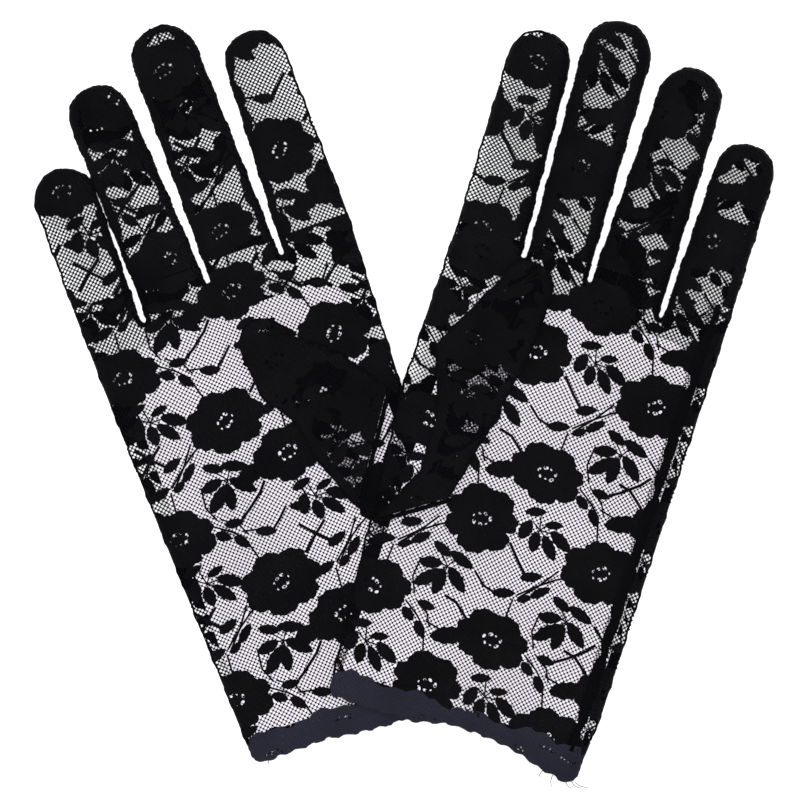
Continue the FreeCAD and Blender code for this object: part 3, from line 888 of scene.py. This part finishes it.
def build_hem(glove):
    """The turned hem: dense above and below, with closed sides and a few loose thread ends."""
    side = glove.side
    spots = glove.flat(f"{side}_hem")
    low_u, high_u, width = spots[:, 0].min(), spots[:, 0].max(), spots[:, 1].max()
    chooser = np.random.default_rng(5 if side == "left" else 6)
    sway = tuple(zip(*HEM_SWAY[side]))
    closed = np.array([[high_u, -9, high_u, width + 9], [low_u, -9, low_u, width + 9]])
    parts = MeshParts()
    for upper in (True, False):
        outline = hem_outline(low_u, high_u, width, sway, chooser)
        holes = hem_openings(HEM_OPENINGS[side], sway, chooser)
        layer = Layer(glove, closed, upper, lift=0.12)
        add_patch(parts, layer, outline, [outline], holes, 0, thickness=CLOTH)
    for u, inward in ((low_u + 0.7, 1), (high_u - 0.7, -1)):
        foot = np.interp(u, *sway)
        corner = [(u + step * inward, foot + rise) for step, rise in ((1.9, 0.9), (0.8, 1.7), (0.1, 3.0))]
        path = resample(np.array([*corner, (u, width)]), STITCH)
        floor = glove.floor(path)
        tall = (glove.top - floor) * (0.5 - EDGE_DROP) + 0.6
        add_roll(parts, path, (floor + glove.top) / 2, 0.9, tall, 0)
    for u, turn, reach in LOOSE_ENDS[side]:
        share = np.linspace(0, 1, 14)
        curl = turn + 1.1 * share
        start = (u, np.interp(u, *sway) + 1)
        path = np.array([start]) + np.cumsum(
            np.column_stack([np.cos(curl), np.sin(curl)]) * reach / 14, axis=0)
        add_roll(parts, path, 0.4 + 3.2 * (1 - share), 0.13, 0.13, 0, sides=5, stitch=0)
    piece = make_piece(f"{side}_hem_band", glove, parts, [HEM])
    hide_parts(f"{side}_hem")
    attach(piece, f"{side}_hand")


def build_side_seam(glove):
    """The gathered seam along the little-finger side of the right palm."""
    outline = outline_of(glove, "right_side_seam")
    middle = outline[:, 0].mean()
    low_v, high_v = outline[:, 1].min(), outline[:, 1].max()
    path = resample(np.array([(middle + 0.6, high_v), (middle, low_v)]), STITCH)
    parts = MeshParts()
    add_roll(parts, path, np.full(len(path), glove.top - 0.05), 0.75, 0.32, 0)
    low_u, high_u = middle - SEAM_BAND, middle + SEAM_BAND
    band = np.array([(low_u, low_v), (high_u, low_v), (high_u, high_v), (low_u, high_v)])
    far_edge = np.array([[0, -400, 1, -400]])      # so far away that the band doesn't roll over
    layer = Layer(glove, far_edge, True, lift=0.14)
    chooser = np.random.default_rng(31)
    gathers = edge_motifs(path, chooser, 0.5, (1.6, 3.6))
    gathers += edge_motifs(path, chooser, -0.8, (1.0, 2.4), gap=0.3)
    add_patch(parts, layer, band, gathers, [], 0)
    add_net(parts, layer, band, cover_of(gathers), 0.8, 0, turn=15.0, knot=0.25)
    piece = make_piece("right_side_seam_stitching", glove, parts, [SEAM], smooth=True)
    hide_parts("right_side_seam")
    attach(piece, "right_hand")


# ---- stage ----

def build_floor():
    """A pale paper floor, just under the gloves."""
    mesh = bpy.data.meshes.new("floor")
    corners = [(-FLOOR_HALF, -FLOOR_HALF, 0), (FLOOR_HALF, -FLOOR_HALF, 0),
               (FLOOR_HALF, FLOOR_HALF, 0), (-FLOOR_HALF, FLOOR_HALF, 0)]
    mesh.from_pydata(corners, [], [(0, 1, 2, 3)])
    floor = bpy.data.objects.new("floor", mesh)
    bpy.context.scene.collection.objects.link(floor)
    paper, _ = new_material("floor_paper", (0.93, 0.93, 0.94), 0.9)
    mesh.materials.append(paper)
    floor.location.z = -FLOOR_DROP


def build_stage(box):
    """The floor, soft light and a camera looking straight down."""
    scene = bpy.context.scene
    build_floor()
    world = bpy.data.worlds.new("studio")
    world.use_nodes = True
    world.node_tree.nodes["Background"].inputs["Color"].default_value = (1, 1, 1, 1)
    world.node_tree.nodes["Background"].inputs["Strength"].default_value = WORLD_STRENGTH
    scene.world = world
    for name, spot, energy, size in LIGHTS:
        light = bpy.data.lights.new(name, "AREA")
        light.energy, light.size = energy, size
        lamp = bpy.data.objects.new(name, light)
        lamp.location = spot
        lamp.rotation_euler = (-Vector(spot)).to_track_quat("-Z", "Y").to_euler()
        scene.collection.objects.link(lamp)
    lens = bpy.data.cameras.new("camera")
    camera = bpy.data.objects.new("camera", lens)
    scene.collection.objects.link(camera)
    middle = (Vector(box[0]) + Vector(box[1])) / 2
    camera.location = (middle.x + CAMERA_OFFSET[0], middle.y + CAMERA_OFFSET[1], CAMERA_HEIGHT)
    lens.sensor_width = SENSOR
    lens.lens = SENSOR * (CAMERA_HEIGHT - box[1][2] / 2) / FIELD
    lens.clip_start = 0.01
    scene.camera = camera
    scene.view_settings.view_transform = "Standard"


build_stage(cad_box)
for side in ("left", "right"):
    glove = Glove(side)
    build_hand(glove)
    build_hem(glove)
    build_thumb(glove)
    for name in FINGERS:
        build_finger(glove, name)
    if side == "right":
        build_side_seam(glove)
    card = frame["nodes"][f"{side}_card"]
    for place in card.material_slots:
        place.material = CARD
